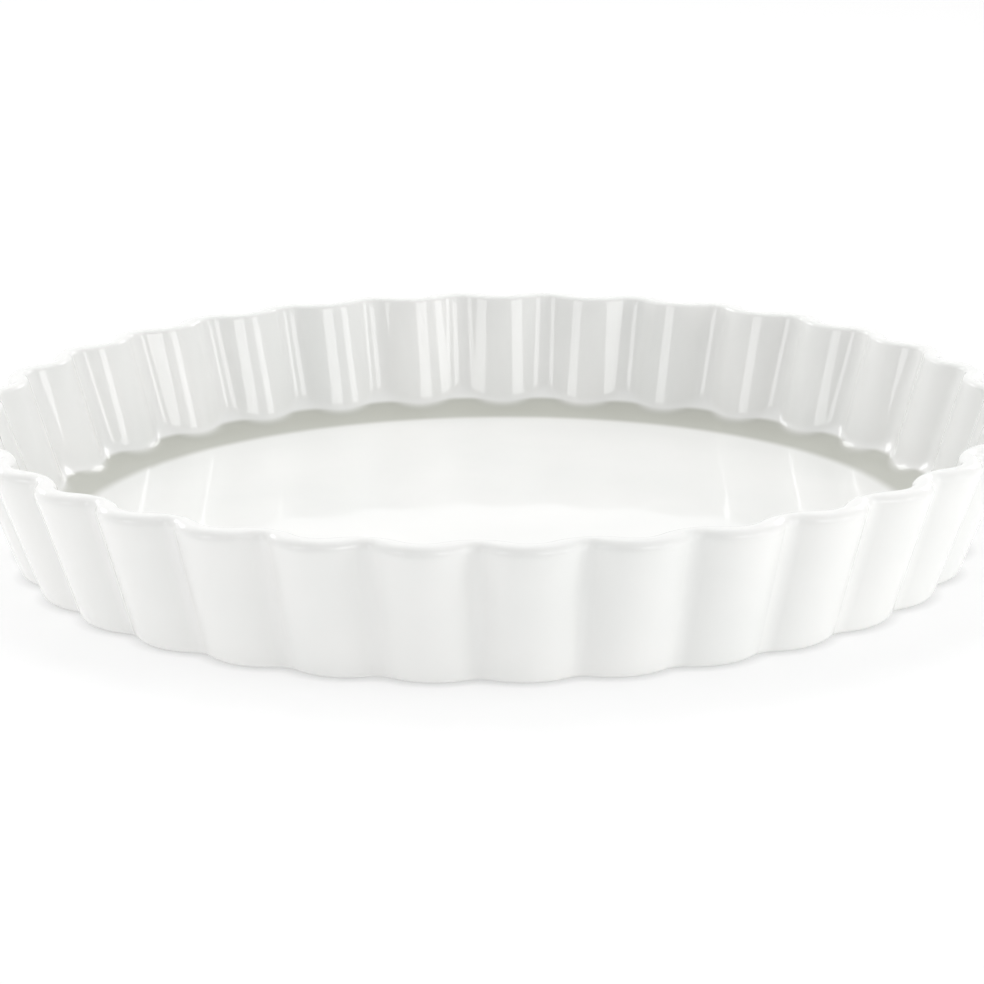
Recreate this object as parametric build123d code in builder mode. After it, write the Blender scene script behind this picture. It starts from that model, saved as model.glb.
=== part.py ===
"""Fluted quiche dish: one piece of glazed porcelain, in millimetres.

The dish stands on the plane z = 0 with its axis on Z. The flutes are deepest
at the lip and shallow at the foot. Inside, broad soft panels meet in narrow
creases, and a cove carries the walls down to a flat floor.
"""
from build123d import *
from math import atan2, cos, degrees, radians, sin, sqrt, tan
import os

os.makedirs("parts", exist_ok=True)

# Body: outline over the crests of the flutes, and height
rim_radius = 140.2
foot_radius = 126.0
dish_height = 37.5

# Flutes on the outside, measured from crest to valley
flute_count = 32
rim_flute_depth = 5.4
foot_flute_depth = 3.0
valley_round_share = 0.3

# Wall and lip: the wall is thinnest behind a valley, where each round of the
# lip takes a share of its width
wall_thickness = 4.6
lip_outer_share = 0.68
lip_inner_share = 0.24
foot_round = 2.8

# Panels on the inside, measured from crease to middle
rim_panel_depth = 3.4
foot_panel_depth = 2.4
panel_round_share = 4.0

# Floor, cove and underside
floor_level = 5.0
cove_radius = 20.0
cove_width = 8.4
foot_ring_width = 6.0
foot_recess = 1.0

# Length by which a cut runs past the surface that it opens
overrun = 4.0


def share_of_height(height):
    """Place between the foot, 0, and the top of the lip, 1."""
    return height / dish_height


def between(at_foot, at_rim, height):
    """Size at a height on a straight taper from the foot to the rim."""
    return at_foot + (at_rim - at_foot) * share_of_height(height)


def polar(radius, angle):
    """Point in the sketch plane at a radius and an angle in degrees."""
    return Vector(radius * cos(radians(angle)), radius * sin(radians(angle)))


def crest_arc_radius(crest, valley, valley_share):
    """Radius of the crest arcs that meet valley arcs of a given share of it without a corner."""
    turn = cos(radians(180 / flute_count))
    squared = crest**2 + valley**2 - 2 * crest * valley * turn
    linear = crest - valley * turn + valley_share * (crest * turn - valley)
    bend = 2 * valley_share * (1 - turn)
    return squared / (linear + sqrt(linear**2 + bend * squared))


def fluted_outline(crest, depth, valley_share):
    """Closed line of crest and valley arcs, each tangent to the next."""
    valley = crest - depth
    crest_arc = crest_arc_radius(crest, valley, valley_share)
    valley_arc = crest_arc * valley_share
    half_pitch = 180 / flute_count
    for flute in range(flute_count):
        middle = 2 * half_pitch * flute
        crest_centre = polar(crest - crest_arc, middle)
        before = polar(valley + valley_arc, middle - half_pitch)
        after = polar(valley + valley_arc, middle + half_pitch)
        share = crest_arc / (crest_arc + valley_arc)
        start = crest_centre + (before - crest_centre) * share
        end = crest_centre + (after - crest_centre) * share
        next_start = start.rotate(Axis.Z, 2 * half_pitch)
        ThreePointArc(start, polar(crest, middle), end)
        ThreePointArc(end, polar(valley, middle + half_pitch), next_start)


def outside_section(height):
    """Outline of the dish at a height, on its own plane."""
    crest = between(foot_radius, rim_radius, height)
    depth = between(foot_flute_depth, rim_flute_depth, height)
    with BuildSketch(Plane.XY.offset(height)) as section:
        with BuildLine():
            fluted_outline(crest, depth, valley_round_share)
        make_face()
    return section.sketch


def inside_section(height):
    """Outline of the hollow at a height: the wall thickness in from the valleys."""
    crest = between(foot_radius, rim_radius, height)
    valley = crest - between(foot_flute_depth, rim_flute_depth, height)
    depth = between(foot_panel_depth, rim_panel_depth, height)
    with BuildSketch(Plane.XY.offset(height)) as section:
        with BuildLine():
            fluted_outline(valley - wall_thickness + depth, depth, panel_round_share)
        make_face()
    return section.sketch


# Inner radius of the wall at the floor, in the middle of a panel
floor_crest = between(foot_radius, rim_radius, floor_level)
floor_valley = floor_crest - between(foot_flute_depth, rim_flute_depth, floor_level)
floor_radius = floor_valley - wall_thickness - cove_width
ring_radius = foot_radius - foot_flute_depth - foot_round - foot_ring_width

# Rounds of the lip: a wall that leans more leaves less room for the outer one
wall_lean = degrees(atan2(rim_radius - foot_radius, dish_height))
lip_outer_round = lip_outer_share * wall_thickness * tan(radians((90 - wall_lean) / 2))
lip_inner_round = lip_inner_share * wall_thickness * tan(radians((90 + wall_lean) / 2))

# Hollow: fluted walls cut off below by a round bowl with a cove
with BuildPart() as hollow:
    loft([inside_section(floor_level), inside_section(dish_height + overrun)], ruled=True)
    with BuildSketch(Plane.XZ):
        with BuildLine():
            centre_top = (0, dish_height + overrun)
            cove_end = (floor_radius + cove_radius, floor_level + cove_radius)
            wide_end = (rim_radius + overrun, floor_level + cove_radius)
            Line(centre_top, (0, floor_level))
            Line((0, floor_level), (floor_radius, floor_level))
            RadiusArc((floor_radius, floor_level), cove_end, -cove_radius)
            Line(cove_end, wide_end)
            Line(wide_end, (rim_radius + overrun, dish_height + overrun))
            Line((rim_radius + overrun, dish_height + overrun), centre_top)
        make_face()
    revolve(axis=Axis.Z, mode=Mode.INTERSECT)

# Dish: tapered fluted body, hollowed, with a recess inside the foot ring
with BuildPart() as dish:
    loft([outside_section(0), outside_section(dish_height)], ruled=True)
    fillet(dish.faces().sort_by(Axis.Z)[0].edges(), foot_round)
    add(hollow.part, mode=Mode.SUBTRACT)
    fillet(dish.faces().sort_by(Axis.Z)[-1].outer_wire().edges(), lip_outer_round)
    fillet(dish.faces().sort_by(Axis.Z)[-1].inner_wires()[0].edges(), lip_inner_round)
    with BuildSketch(Plane.XY):
        Circle(ring_radius)
    extrude(amount=foot_recess, mode=Mode.SUBTRACT)
dish.part.label = "dish"
export_step(dish.part, "parts/dish.step")

print("dish volume, cubic cm:", round(dish.part.volume / 1000, 1))
print("valid:", dish.part.is_valid, "solids:", len(dish.part.solids()))
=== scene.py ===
"""Fluted quiche dish in glazed porcelain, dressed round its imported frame.

The dish stands on z = 0 with its axis on Z and the middle of a flute on +X.
All places are in metres, in the frame of the CAD model.
"""

import math

import bmesh
import bpy
from bpy.props import FloatProperty, FloatVectorProperty, IntProperty, PointerProperty
from mathutils import Matrix, Vector


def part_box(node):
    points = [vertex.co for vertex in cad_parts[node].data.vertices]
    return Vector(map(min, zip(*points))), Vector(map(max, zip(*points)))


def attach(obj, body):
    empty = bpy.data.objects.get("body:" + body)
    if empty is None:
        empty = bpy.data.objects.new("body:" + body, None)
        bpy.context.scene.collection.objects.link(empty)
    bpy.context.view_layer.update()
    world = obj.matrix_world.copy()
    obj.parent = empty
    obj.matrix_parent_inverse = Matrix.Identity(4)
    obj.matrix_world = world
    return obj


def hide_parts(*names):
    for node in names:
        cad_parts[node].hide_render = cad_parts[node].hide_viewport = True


bl_info = {
    "name": "Fluted quiche dish",
    "version": (1, 0, 0),
    "blender": (4, 5, 0),
    "location": "3D View > Sidebar > Dish",
    "description": "Builds a fluted porcelain quiche dish and a plain studio",
    "category": "Object",
}

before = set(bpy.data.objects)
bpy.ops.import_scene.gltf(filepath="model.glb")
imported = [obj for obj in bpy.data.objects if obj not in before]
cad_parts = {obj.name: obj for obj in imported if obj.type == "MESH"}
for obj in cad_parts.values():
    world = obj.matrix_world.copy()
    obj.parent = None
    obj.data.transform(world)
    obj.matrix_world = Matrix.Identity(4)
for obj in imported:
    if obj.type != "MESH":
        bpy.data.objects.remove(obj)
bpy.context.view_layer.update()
CAD_LOW, CAD_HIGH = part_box("dish")
DISH_HEIGHT = CAD_HIGH.z - CAD_LOW.z

MM = 0.001
UP = Vector((0.0, 0.0, 1.0))
WHITE = (1.0, 1.0, 1.0, 1.0)

# Steps of the mesh along the half section, from the foot ring to the floor
RING_STEPS = 4
FOOT_STEPS = 6
WALL_STEPS = 12
LIP_STEPS = 8
LIP_TOP_STEPS = 3
CORNER_STEPS = 6
COVE_STEPS = 8

# Rings of the flat floor and of the underside, as shares of their outer radius
FLOOR_RINGS = (0.93, 0.8, 0.6, 0.4, 0.2)
UNDER_RINGS = (0.8, 0.5, 0.2)

# Rounds of working out where a ball touches a wall, and of halving a height
TOUCH_ROUNDS = 6
MEETING_ROUNDS = 40

# Typical index of refraction of fired porcelain and of the glass of its glaze
PORCELAIN_IOR = 1.5

# Grinding marks of the foot ring: the real grit is finer than would show, so
# the grain is drawn as coarse as this. The marks keep most of the colour.
GRAIN_SIZE = 0.8 * MM
GRAIN_DEPTH = 0.03 * MM
GRAIN_SHADE = 0.93

# Studio: half the side of the paper, distance of the lamps, width of the
# camera's sensor in millimetres, and the angles between which the light of the
# walls fades into that of the ceiling
PAPER_REACH = 4.0
LAMP_DISTANCE = 1.3
SENSOR_WIDTH = 36.0
WALL_TOP = (math.radians(18), math.radians(30))

# Share of its glow that the paper keeps where the dish shuts out the room
SHADED_GLOW = 2 / 3

# Soft lamps: azimuth in degrees from the back towards the right, elevation in
# degrees, width and height in metres, and what they do. A "lamp" lights the
# body and stays out of the glaze's reflections, and a "panel" shows in the
# glaze alone, as a narrow strip of light.
LAMPS = {
    "back_high": (0, 60, 0.55, 0.55, "lamp"),
    "back_low": (0, 34, 1.1, 0.5, "lamp"),
    "back_left": (318, 27, 0.5, 0.3, "panel"),
    "back_right": (42, 27, 0.5, 0.3, "panel"),
    "right": (105, 42, 0.8, 0.45, "lamp"),
    "left": (262, 42, 0.8, 0.45, "lamp"),
    "right_key": (112, 14, 0.5, 0.5, "lamp"),
    "left_key": (308, 14, 0.5, 0.5, "lamp"),
    "right_strip": (154, 20, 0.5, 0.45, "panel"),
    "left_strip": (234, 19, 0.42, 0.45, "panel"),
    "side_strip": (115, 17, 0.3, 0.4, "panel"),
}


def length(name, description, millimetres):
    """A length of the dish or the studio, shown with its unit in the panel."""
    return FloatProperty(
        name=name,
        description=description,
        default=millimetres * MM,
        subtype="DISTANCE",
        unit="LENGTH",
        precision=5,
    )


def tint(name, description, code):
    """A colour given as an sRGB hex code, kept as linear light."""
    return FloatVectorProperty(
        name=name,
        description=description,
        default=linear_colour(code),
        subtype="COLOR",
        size=3,
        min=0.0,
        max=1.0,
    )


def fraction(name, description, value):
    """One length as a share of another."""
    return FloatProperty(name=name, description=description, default=value, min=0.01)


def camera_angle(name, description, radians):
    """An angle of the camera, shown in degrees in the panel."""
    return FloatProperty(
        name=name,
        description=description,
        default=radians,
        subtype="ANGLE",
        unit="ROTATION",
    )


def brightness(name, description, level):
    """Brightness of a lamp or a wall, where 1 is a white that fills the picture."""
    return FloatProperty(name=name, description=description, default=level, min=0.0)


def linear_colour(code):
    """Linear red, green and blue of an sRGB hex code such as F2F1EC."""
    channels = [int(code[i : i + 2], 16) / 255 for i in (0, 2, 4)]
    return [
        c / 12.92 if c <= 0.04045 else ((c + 0.055) / 1.055) ** 2.4 for c in channels
    ]


class DishSizes(bpy.types.PropertyGroup):
    """Sizes of the porcelain body.

    They are those of the CAD model, except that the panels inside are up to
    0.7 mm deeper and rounder, and meet the cove in a soft corner."""

    rim_radius: length("Rim radius", "Over the crests of the flutes at the lip", 140.2)
    foot_radius: length("Foot radius", "Over the crests at the foot", 126.0)
    flutes: IntProperty(
        name="Flutes", description="Number of flutes", default=32, min=3
    )
    rim_flute: length("Flute depth at the rim", "From crest to valley, outside", 5.4)
    foot_flute: length("Flute depth at the foot", "From crest to valley, outside", 3.0)
    valley_share: fraction("Valley round share", "Its radius over a crest's", 0.3)
    wall: length("Wall", "Thickness of the wall behind a valley", 4.6)
    lip_outer_share: fraction("Outer lip share", "Of the lip's width", 0.68)
    lip_inner_share: fraction("Inner lip share", "Of the lip's width", 0.24)
    foot_round: length("Foot round", "Radius at the foot of the outer wall", 2.8)
    rim_panel: length("Panel depth at the rim", "From crease to middle, inside", 4.1)
    foot_panel: length("Panel depth at the foot", "From crease to middle, inside", 3.0)
    panel_share: fraction("Panel round share", "Its radius over a crease's", 2.4)
    floor_level: length("Floor level", "Height of the inner floor", 5.0)
    cove: length("Cove radius", "Radius between floor and wall", 20.0)
    cove_width: length("Cove width", "From the floor's edge to the wall", 8.4)
    corner: length("Corner softness", "Reach of the glaze on the cove's edge", 2.6)
    ring_width: length("Foot ring width", "Width of the bare ring", 6.0)
    recess: length("Foot recess", "Depth of the hollow inside the ring", 1.0)
    section_overrun: length("Section overrun", "Hollow drawn on above the lip", 4.0)
    crest_steps: IntProperty(
        name="Crest steps", description="Mesh steps round a crest", default=12, min=4
    )
    valley_steps: IntProperty(
        name="Valley steps", description="Mesh steps round a valley", default=10, min=4
    )


class PorcelainFinish(bpy.types.PropertyGroup):
    """Colours and surface of the glaze and of the bare foot ring, and a painted shade
    in the cove.
    """

    body: tint("Glazed body", "White body seen through clear glaze", "F2F2F0")
    deeper: tint("Deeper glaze", "Body under slightly thicker glaze", "ECEDEB")
    # Painted shade: a darker grey-green band painted into the cove and a little way up
    # the inner wall, where the wall's shade falls; these five give its colour and
    # reach.
    cove_shade: tint("Pooled glaze", "Thick glaze in the cove", "BCBDB4")
    shade_inset: length("Pool inset", "Thick glaze inside the floor's edge", 0.8)
    shade_edge: length("Pool edge", "Width over which it begins there", 4.4)
    shade_rise: length("Pool rise", "How far the thick glaze climbs the wall", 1.2)
    shade_top: length("Pool top", "Height at which it ends in the creases", 9.2)
    biscuit: tint("Biscuit", "Bare fired body of the foot ring", "E9E4DA")
    body_roughness: FloatProperty(
        name="Body roughness", description="Spread of light in the body", default=0.45
    )
    glaze_roughness: FloatProperty(
        name="Glaze roughness",
        description="Spread of the glaze's reflections",
        default=0.035,
    )
    wave_length: length("Glaze wave length", "Distance between slow waves", 17.0)
    wave_depth: length("Glaze wave depth", "Height of the slow waves", 0.02)
    drift_length: length("Glaze drift", "Distance between thicker places", 45.0)


class StudioLook(bpy.types.PropertyGroup):
    """Camera, lamps and the white paper floor."""

    focal: FloatProperty(
        name="Lens", description="Focal length in mm on a 36 mm sensor", default=147.87
    )
    distance: length("Camera distance", "From the aim point to the camera", 1077.7)
    elevation: camera_angle("Elevation", "Camera height above the horizon", 0.267)
    azimuth: camera_angle("Azimuth", "Turn of the camera round the dish", -0.0704)
    roll: camera_angle("Roll", "Tilt of the picture", -0.0099)
    aim_height: length("Aim height", "Height of the aim point", 13.18)
    aim_side: length("Aim shift", "Aim point to the right of the axis", -0.03)
    back_high: brightness("High back softbox", "Behind and above the dish", 3.4)
    back_low: brightness("Low back softbox", "Behind the dish, at half height", 0.2)
    back_left: brightness("Left back panel", "Behind, only for the glaze", 2.6)
    back_right: brightness("Right back panel", "Behind, only for the glaze", 2.6)
    left: brightness("Left softbox", "Beside the dish", 2.2)
    right: brightness("Right softbox", "Beside the dish", 1.8)
    left_key: brightness("Left key", "Low on the left, a little behind the dish", 4.2)
    right_key: brightness("Right key", "Low on the right, a little in front", 4.4)
    left_strip: brightness("Left strip", "Front left, only for the glaze", 2.6)
    right_strip: brightness("Right strip", "Near the camera, only for the glaze", 3.0)
    side_strip: brightness("Side strip", "On the right, only for the glaze", 3.0)
    walls: brightness("Room walls", "White walls near the floor", 0.1)
    ceiling: brightness("Ceiling", "Room above the softboxes", 0.81)
    glow: brightness("Paper glow", "Light that the paper gives the dish", 0.74)
    seen_glow: brightness("Paper white", "Glow of the paper where it is seen", 0.54)
    contact_reach: length("Contact reach", "Width of the contact shadow", 3.0)
    paper: tint("Paper", "Paper floor, without its glow", "B4B4B4")


# Mesh of the dish

# Material slots of the mesh, by the kind of surface; the inside takes the porcelain
# with the painted cove shade
SLOTS = {"glaze": 0, "recess": 0, "ring": 1, "inside": 2}


def between(at_foot, at_rim, share):
    """Value on a straight taper from the foot, share 0, to the rim, share 1."""
    return at_foot + (at_rim - at_foot) * share


class FlutedOutline:
    """One flute of a closed line of crest and valley arcs, tangent to each other."""

    def __init__(self, crest, depth, valley_share, flutes):
        self.half = math.pi / flutes
        valley = crest - depth
        turn = math.cos(self.half)
        squared = crest**2 + valley**2 - 2 * crest * valley * turn
        linear = crest - valley * turn + valley_share * (crest * turn - valley)
        bend = 2 * valley_share * (1 - turn)
        self.crest_arc = squared / (linear + math.sqrt(linear**2 + bend * squared))
        self.valley_arc = self.crest_arc * valley_share
        self.crest_centre = Vector((crest - self.crest_arc, 0.0, 0.0))
        reach = valley + self.valley_arc
        self.valley_centre = Vector(
            (reach * math.cos(self.half), reach * math.sin(self.half), 0.0)
        )
        across = self.valley_centre - self.crest_centre
        self.turn = math.atan2(across.y, across.x)

    def at(self, place):
        """Point and direction of travel at a place.

        Places run from 0 to 1 on the crest and from 1 to 2 in the valley."""
        if place < 1:
            angle = self.turn * (2 * place - 1)
            spin = 2 * self.turn
            centre, radius = self.crest_centre, self.crest_arc
        else:
            swing = self.turn - self.half
            angle = self.half + math.pi + swing * (1 - 2 * (place - 1))
            spin = -2 * swing
            centre, radius = self.valley_centre, self.valley_arc
        out = Vector((math.cos(angle), math.sin(angle), 0.0))
        along = Vector((-out.y, out.x, 0.0)) * spin * radius
        return centre + out * radius, along


class RuledWall:
    """Wall drawn by straight lines between two outlines, one above the other.

    Its side is 1 where the porcelain lies within it, and -1 where it lies outside."""

    def __init__(self, low, low_height, high, high_height, side):
        self.low, self.high = low, high
        self.low_height, self.high_height = low_height, high_height
        self.side = side

    def share(self, height):
        """How far up a height is, from the low outline, 0, to the high one, 1."""
        return (height - self.low_height) / (self.high_height - self.low_height)

    def point(self, place, height):
        """Point of the wall at a place on the flute and a height."""
        share = self.share(height)
        flat = self.low.at(place)[0].lerp(self.high.at(place)[0], share)
        return flat + UP * height

    def normal(self, place, height):
        """Unit normal that points out of the porcelain."""
        share = self.share(height)
        low, low_along = self.low.at(place)
        high, high_along = self.high.at(place)
        along = low_along.lerp(high_along, share)
        rise = high - low + UP * (self.high_height - self.low_height)
        return along.cross(rise).normalized() * self.side


def dish_walls(sizes):
    """Outer and inner wall of the dish as ruled walls."""

    def outline_at(level, inside):
        share = level / DISH_HEIGHT
        crest = between(sizes.foot_radius, sizes.rim_radius, share)
        depth = between(sizes.foot_flute, sizes.rim_flute, share)
        if not inside:
            return FlutedOutline(crest, depth, sizes.valley_share, sizes.flutes)
        panel = between(sizes.foot_panel, sizes.rim_panel, share)
        crease = crest - depth - sizes.wall + panel
        return FlutedOutline(crease, panel, sizes.panel_share, sizes.flutes)

    low, top = sizes.floor_level, DISH_HEIGHT + sizes.section_overrun
    lip = outline_at(DISH_HEIGHT, False)
    outer = RuledWall(outline_at(0, False), 0, lip, DISH_HEIGHT, 1)
    inner = RuledWall(outline_at(low, True), low, outline_at(top, True), top, -1)
    return outer, inner


def lip_rounds(sizes):
    """Outer and inner radius of the lip.

    A wall that leans more leaves less room for the outer one."""
    lean = math.atan2(sizes.rim_radius - sizes.foot_radius, DISH_HEIGHT)
    outer = sizes.wall * sizes.lip_outer_share * math.tan((math.pi / 2 - lean) / 2)
    inner = sizes.wall * sizes.lip_inner_share * math.tan((math.pi / 2 + lean) / 2)
    return outer, inner


def rolled_edge(wall, place, radius, level, towards, steps):
    """Arc of a ball of that radius that touches the wall and the flat at a level.

    It runs from the wall to the flat, whose normal is towards."""
    height = level - towards.z * radius
    for _ in range(TOUCH_ROUNDS):
        normal = wall.normal(place, height)
        height = level - towards.z * radius + normal.z * radius
    normal = wall.normal(place, height)
    centre = wall.point(place, height) - normal * radius
    span = normal.angle(towards)
    points = []
    for step in range(steps + 1):
        part = step / steps
        direction = (
            normal * math.sin((1 - part) * span) + towards * math.sin(part * span)
        ) / math.sin(span)
        points.append(centre + direction * radius)
    return points, height


def run(start, end, steps):
    """Points between two points, without the two themselves."""
    return [start.lerp(end, step / steps) for step in range(1, steps)]


def climb(wall, place, low, high):
    """Points of a wall between two heights, without the two themselves."""
    return [
        wall.point(place, low + (high - low) * step / WALL_STEPS)
        for step in range(1, WALL_STEPS)
    ]


def at_reach(direction, reach, height):
    """Point that far out from the axis, in a flat direction, at a height."""
    return Vector((direction.x * reach, direction.y * reach, height))


def floor_edge(sizes):
    """Radius at which the flat floor turns into the cove."""
    share = sizes.floor_level / DISH_HEIGHT
    crest = between(sizes.foot_radius, sizes.rim_radius, share)
    depth = between(sizes.foot_flute, sizes.rim_flute, share)
    return crest - depth - sizes.wall - sizes.cove_width


def cove_height(sizes, reach):
    """Height of the cove, or of the floor, where it is that far out from the axis."""
    over = max(reach - floor_edge(sizes), 0.0)
    rise = sizes.cove - math.sqrt(max(sizes.cove**2 - over**2, 0.0))
    return sizes.floor_level + rise


def cove_meeting(sizes, inner, place):
    """Height at which the inner wall stands on the cove."""
    low, high = sizes.floor_level, sizes.floor_level + sizes.cove
    for _ in range(MEETING_ROUNDS):
        middle = (low + high) / 2
        point = inner.point(place, middle)
        if cove_height(sizes, point.xy.length) > middle:
            low = middle
        else:
            high = middle
    return (low + high) / 2


def inside_profile(sizes, inner, place, lip_low):
    """Points down the inner wall and the cove, from the lip to the floor's edge."""
    meeting = cove_meeting(sizes, inner, place)
    corner = inner.point(place, meeting)
    above = inner.point(place, meeting + sizes.corner)
    points = climb(inner, place, lip_low, above.z)
    inward = corner.xy.normalized()
    below_reach = corner.xy.length - sizes.corner
    below = at_reach(inward, below_reach, cove_height(sizes, below_reach))
    for step in range(CORNER_STEPS + 1):
        t = step / CORNER_STEPS
        points.append(above * (1 - t) ** 2 + corner * 2 * t * (1 - t) + below * t**2)
    edge = floor_edge(sizes)
    for step in range(1, COVE_STEPS + 1):
        reach = below_reach + (edge - below_reach) * step / COVE_STEPS
        points.append(at_reach(inward, reach, cove_height(sizes, reach)))
    return points


def profile(sizes, walls, place):
    """Half section of the dish at a place on the flute, from foot ring to floor."""
    outer, inner = walls
    ring = sizes.foot_radius - sizes.foot_flute - sizes.foot_round - sizes.ring_width
    foot, foot_top = rolled_edge(outer, place, sizes.foot_round, 0.0, -UP, FOOT_STEPS)
    foot.reverse()
    outer_round, inner_round = lip_rounds(sizes)
    lip = (DISH_HEIGHT, UP, LIP_STEPS)
    lip_out, outer_low = rolled_edge(outer, place, outer_round, *lip)
    lip_in, inner_low = rolled_edge(inner, place, inner_round, *lip)
    lip_in.reverse()

    ring_edge = at_reach(foot[0].xy.normalized(), ring, 0.0)
    stretches = (
        ("recess", [ring_edge + UP * sizes.recess]),
        ("ring", [ring_edge] + run(ring_edge, foot[0], RING_STEPS)),
        ("glaze", foot + climb(outer, place, foot_top, outer_low) + lip_out),
        ("glaze", run(lip_out[-1], lip_in[0], LIP_TOP_STEPS)),
        ("inside", lip_in + inside_profile(sizes, inner, place, inner_low)),
    )
    points = [point for _, stretch in stretches for point in stretch]
    kinds = [kind for kind, stretch in stretches for _ in stretch]
    return points, kinds


def dish_mesh(sizes):
    """Mesh of the whole dish: one closed skin over every flute."""
    walls = dish_walls(sizes)
    places = [i / sizes.crest_steps for i in range(sizes.crest_steps)]
    places += [1 + i / sizes.valley_steps for i in range(sizes.valley_steps)]
    profiles = [profile(sizes, walls, place) for place in places]
    kinds = profiles[0][1]
    columns = len(places) * sizes.flutes

    made = bmesh.new()
    grid = []
    for flute in range(sizes.flutes):
        spin = Matrix.Rotation(2 * math.pi * flute / sizes.flutes, 3, "Z")
        for points, _ in profiles:
            grid.append([made.verts.new(spin @ p) for p in points])

    def stitch(a, b, slot):
        """Faces between two rings of vertices, or between a ring and its middle."""
        for i in range(columns):
            j = (i + 1) % columns
            # At a middle, b[j] and b[i] are one vertex, so the face has three
            face = made.faces.new(tuple(dict.fromkeys((a[i], a[j], b[j], b[i]))))
            face.material_index = slot
            face.smooth = True

    def close_disc(row, shares, slot):
        """Flat disc inside the ring of vertices of a row."""
        ring = [column[row] for column in grid]
        for share in shares:
            inner = []
            for column in grid:
                x, y, z = column[row].co
                inner.append(made.verts.new((x * share, y * share, z)))
            stitch(ring, inner, slot)
            ring = inner
        centre = made.verts.new((0.0, 0.0, grid[0][row].co.z))
        stitch(ring, [centre] * columns, slot)

    for row in range(len(kinds) - 1):
        lower = [column[row] for column in grid]
        upper = [column[row + 1] for column in grid]
        stitch(lower, upper, SLOTS[kinds[row]])
    close_disc(-1, FLOOR_RINGS, SLOTS["inside"])
    close_disc(0, UNDER_RINGS, SLOTS["recess"])

    # The two edges of the recess's step are sharp: both run round the axis
    for row in (0, 1):
        ring = {column[row] for column in grid}
        for edge in made.edges:
            if edge.verts[0] in ring and edge.verts[1] in ring:
                edge.smooth = False
    bmesh.ops.recalc_face_normals(made, faces=made.faces)
    mesh = bpy.data.meshes.new("fluted_dish")
    made.to_mesh(mesh)
    made.free()
    return mesh


# Materials


def add_node(tree, kind, settings=None, links=None):
    """Adds a node, sets its fields and sockets, and links its inputs."""
    node = tree.nodes.new(kind)
    for name, value in (settings or {}).items():
        if isinstance(name, int) or name in node.inputs:
            node.inputs[name].default_value = value
        else:
            setattr(node, name, value)
    for name, socket in (links or {}).items():
        tree.links.new(socket, node.inputs[name])
    return node


def blank_material(name):
    """An empty node material and its tree."""
    material = bpy.data.materials.new(name)
    material.use_nodes = True
    material.node_tree.nodes.clear()
    return material, material.node_tree


def glazed_porcelain(finish):
    """Hard white porcelain under clear gloss glaze.

    The body gives a soft, slightly deep white. The fired glaze over it gives
    mirror-sharp reflections that waver a little, because glaze never dries
    dead level. Gives back what the inside needs to go on from."""
    material, tree = blank_material("glazed_porcelain")
    place = add_node(tree, "ShaderNodeTexCoord").outputs["Object"]
    waves = add_node(
        tree,
        "ShaderNodeTexNoise",
        {"Scale": 1.0 / finish.wave_length, "Detail": 2.0, "Roughness": 0.4},
        {"Vector": place},
    )
    bump = add_node(
        tree,
        "ShaderNodeBump",
        {"Strength": 1.0, "Distance": finish.wave_depth},
        {"Height": waves.outputs["Fac"]},
    )
    drift = add_node(
        tree,
        "ShaderNodeTexNoise",
        {"Scale": 1.0 / finish.drift_length, "Detail": 3.0, "Roughness": 0.5},
        {"Vector": place},
    )
    amount = add_node(
        tree,
        "ShaderNodeMapRange",
        {"From Min": 0.35, "From Max": 0.75},
        {"Value": drift.outputs["Fac"]},
    )
    colour = add_node(
        tree,
        "ShaderNodeMix",
        {"data_type": "RGBA", 6: (*finish.body, 1.0), 7: (*finish.deeper, 1.0)},
        {0: amount.outputs["Result"]},
    )
    shader = add_node(
        tree,
        "ShaderNodeBsdfPrincipled",
        {
            "Roughness": finish.body_roughness,
            "IOR": PORCELAIN_IOR,
            "Specular IOR Level": 0.3,
            "Coat Weight": 1.0,
            "Coat Roughness": finish.glaze_roughness,
            "Coat IOR": PORCELAIN_IOR,
        },
        {
            "Base Color": colour.outputs[2],
            "Normal": bump.outputs["Normal"],
            "Coat Normal": bump.outputs["Normal"],
        },
    )
    add_node(
        tree, "ShaderNodeOutputMaterial", {}, {"Surface": shader.outputs["BSDF"]}
    )
    return material, tree, place, colour.outputs[2], shader


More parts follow.
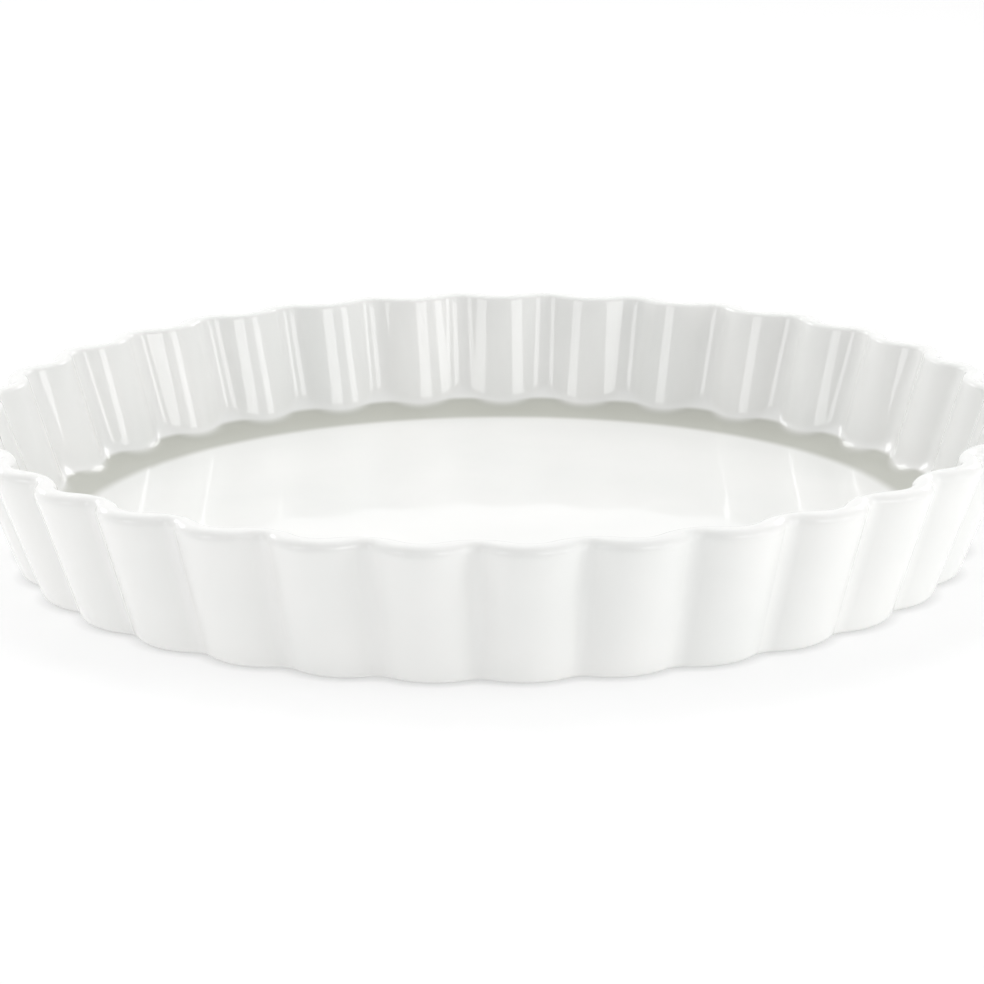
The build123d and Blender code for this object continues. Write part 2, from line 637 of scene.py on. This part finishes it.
def cove_shaded_porcelain(finish, sizes):
    """The same glazed porcelain, for the inside of the dish.

    A darker grey-green band is painted into the cove, at the foot of the inner wall,
    as painted shade where the wall's shade falls. It has a soft edge on the floor
    and a sharper one where it climbs the wall. The height above the cove's arc is
    worked out from the distance to the axis, as in cove_height."""
    material, tree, place, body, shader = glazed_porcelain(finish)
    material.name = "pooled_glaze_porcelain"

    # Painted shade: the mask below marks the cove and the foot of the inner wall, where
    # the wall's shade falls.
    part = add_node(tree, "ShaderNodeSeparateXYZ", {}, {0: place})
    flat = add_node(
        tree, "ShaderNodeCombineXYZ", {}, {0: part.outputs["X"], 1: part.outputs["Y"]}
    )
    reach = add_node(
        tree, "ShaderNodeVectorMath", {"operation": "LENGTH"}, {0: flat.outputs[0]}
    )
    over = add_node(
        tree,
        "ShaderNodeMath",
        {"operation": "SUBTRACT", 1: floor_edge(sizes)},
        {0: reach.outputs["Value"]},
    )
    squared = add_node(
        tree,
        "ShaderNodeMath",
        {"operation": "MULTIPLY"},
        {0: over.outputs[0], 1: over.outputs[0]},
    )
    drop = add_node(
        tree,
        "ShaderNodeMath",
        {"operation": "SUBTRACT", 0: sizes.cove**2},
        {1: squared.outputs[0]},
    )
    root = add_node(tree, "ShaderNodeMath", {"operation": "SQRT"}, {0: drop.outputs[0]})
    cove = add_node(
        tree,
        "ShaderNodeMath",
        {"operation": "SUBTRACT", 0: sizes.floor_level + sizes.cove},
        {1: root.outputs[0]},
    )
    above = add_node(
        tree,
        "ShaderNodeMath",
        {"operation": "SUBTRACT"},
        {0: part.outputs["Z"], 1: cove.outputs[0]},
    )
    outward = add_node(
        tree,
        "ShaderNodeMapRange",
        {
            "interpolation_type": "SMOOTHSTEP",
            "From Min": -finish.shade_inset,
            "From Max": finish.shade_edge - finish.shade_inset,
        },
        {"Value": over.outputs[0]},
    )
    upward = add_node(
        tree,
        "ShaderNodeMapRange",
        {
            "interpolation_type": "SMOOTHSTEP",
            "From Min": finish.shade_rise,
            "From Max": 0.0,
        },
        {"Value": above.outputs[0], "To Max": outward.outputs["Result"]},
    )
    painted_shade = add_node(
        tree,
        "ShaderNodeMapRange",
        {
            "interpolation_type": "SMOOTHSTEP",
            "From Min": finish.shade_top,
            "From Max": finish.shade_top - finish.shade_rise,
        },
        {"Value": part.outputs["Z"], "To Max": upward.outputs["Result"]},
    )
    # Mixes the painted shade's darker colour into the body's colour.
    colour = add_node(
        tree,
        "ShaderNodeMix",
        {"data_type": "RGBA", 7: (*finish.cove_shade, 1.0)},
        {0: painted_shade.outputs["Result"], 6: body},
    )
    tree.links.new(colour.outputs[2], shader.inputs["Base Color"])
    return material


def biscuit_porcelain(finish):
    """Bare fired porcelain of the foot ring, ground flat.

    It is matt and slightly warm, with the fine grain that grinding leaves."""
    material, tree = blank_material("biscuit_porcelain")
    place = add_node(tree, "ShaderNodeTexCoord")
    grain = add_node(
        tree,
        "ShaderNodeTexNoise",
        {"Scale": 1.0 / GRAIN_SIZE, "Detail": 4.0, "Roughness": 0.6},
        {"Vector": place.outputs["Object"]},
    )
    bump = add_node(
        tree,
        "ShaderNodeBump",
        {"Strength": 0.6, "Distance": GRAIN_DEPTH},
        {"Height": grain.outputs["Fac"]},
    )
    shade = add_node(tree, "ShaderNodeValToRGB", {}, {"Fac": grain.outputs["Fac"]})
    shade.color_ramp.elements[0].position = 0.3
    marks = [channel * GRAIN_SHADE for channel in finish.biscuit]
    shade.color_ramp.elements[0].color = (*marks, 1.0)
    shade.color_ramp.elements[1].position = 0.7
    shade.color_ramp.elements[1].color = (*finish.biscuit, 1.0)
    shader = add_node(
        tree,
        "ShaderNodeBsdfPrincipled",
        {"Roughness": 0.8, "IOR": PORCELAIN_IOR},
        {"Base Color": shade.outputs["Color"], "Normal": bump.outputs["Normal"]},
    )
    add_node(
        tree, "ShaderNodeOutputMaterial", {}, {"Surface": shader.outputs["BSDF"]}
    )
    return material


def seen_directly(tree):
    """1 for what the camera sees itself, in gloss or through glass, else 0."""
    path = add_node(tree, "ShaderNodeLightPath")
    first = add_node(
        tree,
        "ShaderNodeMath",
        {"operation": "MAXIMUM"},
        {0: path.outputs["Is Camera Ray"], 1: path.outputs["Is Glossy Ray"]},
    )
    return add_node(
        tree,
        "ShaderNodeMath",
        {"operation": "MAXIMUM"},
        {0: first.outputs[0], 1: path.outputs["Is Transmission Ray"]},
    ).outputs[0]


def studio_paper(look):
    """Matt white paper roll: takes the dish's shadow, and reads as plain white.

    Its glow gives way close to the dish, where the porcelain shuts out the room."""
    material, tree = blank_material("studio_paper")
    matt = add_node(tree, "ShaderNodeBsdfDiffuse", {"Color": (*look.paper, 1.0)})
    seen = add_node(
        tree,
        "ShaderNodeMapRange",
        {"To Min": look.glow, "To Max": look.seen_glow},
        {"Value": seen_directly(tree)},
    )
    openness = add_node(
        tree,
        "ShaderNodeAmbientOcclusion",
        {"samples": 4, "Distance": look.contact_reach},
    )
    glow = add_node(
        tree,
        "ShaderNodeMapRange",
        {"From Min": -SHADED_GLOW / (1 - SHADED_GLOW)},
        {"Value": openness.outputs["AO"], "To Max": seen.outputs["Result"]},
    )
    lift = add_node(
        tree,
        "ShaderNodeEmission",
        {"Color": WHITE},
        {"Strength": glow.outputs["Result"]},
    )
    both = add_node(
        tree, "ShaderNodeAddShader", {}, {0: matt.outputs[0], 1: lift.outputs[0]}
    )
    add_node(tree, "ShaderNodeOutputMaterial", {}, {"Surface": both.outputs[0]})
    return material


# Studio


def sight_line(turn, rise):
    """Unit vector at an angle from +Y towards +X and an angle above the horizon."""
    flat = math.cos(rise)
    return Vector((math.sin(turn) * flat, math.cos(turn) * flat, math.sin(rise)))


def aim_matrix(look):
    """Place and turn of the camera, from the angles at which it looks at the dish."""
    a, r = look.azimuth, look.roll
    back = sight_line(math.pi - a, look.elevation)
    right = Vector((math.cos(a), math.sin(a), 0.0))
    up = back.cross(right)
    tilted_right = right * math.cos(r) + up * math.sin(r)
    tilted_up = up * math.cos(r) - right * math.sin(r)
    place = right * look.aim_side + UP * look.aim_height + back * look.distance
    turn = Matrix((tilted_right, tilted_up, back)).transposed().to_4x4()
    return Matrix.Translation(place) @ turn


def make_camera(look):
    """Long lens from in front and a little above."""
    data = bpy.data.cameras.new("camera")
    data.lens = look.focal
    data.sensor_width = SENSOR_WIDTH
    data.dof.use_dof = False
    camera = bpy.data.objects.new("camera", data)
    camera.matrix_world = aim_matrix(look)
    bpy.context.scene.collection.objects.link(camera)
    bpy.context.scene.camera = camera


def make_paper(look):
    """Flat paper floor that fills the picture."""
    mesh = bpy.data.meshes.new("paper_floor")
    made = bmesh.new()
    bmesh.ops.create_grid(made, x_segments=1, y_segments=1, size=PAPER_REACH)
    made.to_mesh(mesh)
    made.free()
    mesh.materials.append(studio_paper(look))
    paper = bpy.data.objects.new("paper_floor", mesh)
    bpy.context.scene.collection.objects.link(paper)


def make_softbox(name, azimuth, elevation, wide, high, role, level):
    """Rectangular soft lamp that faces the dish, as listed in LAMPS.

    Its level is how bright its face is."""
    data = bpy.data.lights.new(name, "AREA")
    data.shape = "RECTANGLE"
    data.size, data.size_y = wide, high
    data.energy = math.pi * wide * high * level
    towards = sight_line(math.radians(azimuth), math.radians(elevation))
    lamp = bpy.data.objects.new(name, data)
    lamp.location = towards * LAMP_DISTANCE
    lamp.rotation_mode = "QUATERNION"
    lamp.rotation_quaternion = (-towards).to_track_quat("-Z", "Y")
    lamp.visible_glossy = role == "panel"
    lamp.visible_diffuse = role == "lamp"
    bpy.context.scene.collection.objects.link(lamp)


def make_world(look):
    """Plain white room: full white where it is seen, and a fill light that fades
    from the walls up to the ceiling."""
    world = bpy.data.worlds.new("white_room")
    bpy.context.scene.world = world
    world.use_nodes = True
    tree = world.node_tree
    tree.nodes.clear()
    where = add_node(tree, "ShaderNodeTexCoord")
    part = add_node(tree, "ShaderNodeSeparateXYZ", {}, {0: where.outputs["Generated"]})
    level = add_node(
        tree,
        "ShaderNodeMapRange",
        {
            "From Min": math.sin(WALL_TOP[0]),
            "From Max": math.sin(WALL_TOP[1]),
            "To Min": look.walls,
            "To Max": look.ceiling,
        },
        {"Value": part.outputs["Z"]},
    )
    seen = add_node(
        tree,
        "ShaderNodeMix",
        {3: 1.0},
        {0: seen_directly(tree), 2: level.outputs["Result"]},
    )
    room = add_node(
        tree,
        "ShaderNodeBackground",
        {"Color": WHITE},
        {"Strength": seen.outputs[0]},
    )
    add_node(tree, "ShaderNodeOutputWorld", {}, {"Surface": room.outputs[0]})


# Operators, panel and registration


class DISH_OT_body(bpy.types.Operator):
    """Build the porcelain body with its flutes, lip, cove, floor and foot ring"""

    bl_idname = "quiche_dish.body"
    bl_label = "Porcelain body"

    def execute(self, context):
        scene = context.scene
        mesh = dish_mesh(scene.dish_sizes)
        finish = scene.porcelain_finish
        mesh.materials.append(glazed_porcelain(finish)[0])
        mesh.materials.append(biscuit_porcelain(finish))
        # The inside's porcelain carries the painted shade in the cove.
        mesh.materials.append(cove_shaded_porcelain(finish, scene.dish_sizes))
        dish = bpy.data.objects.new("fluted_dish", mesh)
        scene.collection.objects.link(dish)
        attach(dish, "root")
        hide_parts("dish")
        return {"FINISHED"}


class DISH_OT_studio(bpy.types.Operator):
    """Set up the camera, the soft lamps and the white paper floor"""

    bl_idname = "quiche_dish.studio"
    bl_label = "Studio"

    def execute(self, context):
        look = context.scene.studio_look
        context.scene.view_settings.view_transform = "Standard"
        make_paper(look)
        make_camera(look)
        make_world(look)
        for name, place in LAMPS.items():
            make_softbox(name, *place, getattr(look, name))
        return {"FINISHED"}


class DISH_PT_panel(bpy.types.Panel):
    """Lists the steps that build the dish, with their sizes and colours"""

    bl_idname = "DISH_PT_panel"
    bl_label = "Fluted quiche dish"
    bl_space_type = "VIEW_3D"
    bl_region_type = "UI"
    bl_category = "Dish"

    def draw(self, context):
        for operator in STEPS:
            self.layout.operator(operator.bl_idname)
        for name in GROUPS:
            box = self.layout.box()
            group = getattr(context.scene, name)
            for key in group.__annotations__:
                box.prop(group, key)


STEPS = (DISH_OT_body, DISH_OT_studio)
GROUPS = {
    "dish_sizes": DishSizes,
    "porcelain_finish": PorcelainFinish,
    "studio_look": StudioLook,
}
CLASSES = (*GROUPS.values(), *STEPS, DISH_PT_panel)


def register():
    for item in CLASSES:
        bpy.utils.register_class(item)
    for name, group in GROUPS.items():
        setattr(bpy.types.Scene, name, PointerProperty(type=group))


def unregister():
    for name in GROUPS:
        delattr(bpy.types.Scene, name)
    for item in reversed(CLASSES):
        bpy.utils.unregister_class(item)


def main():
    register()
    bpy.ops.quiche_dish.body()
    bpy.ops.quiche_dish.studio()


if __name__ == "__main__":
    main()
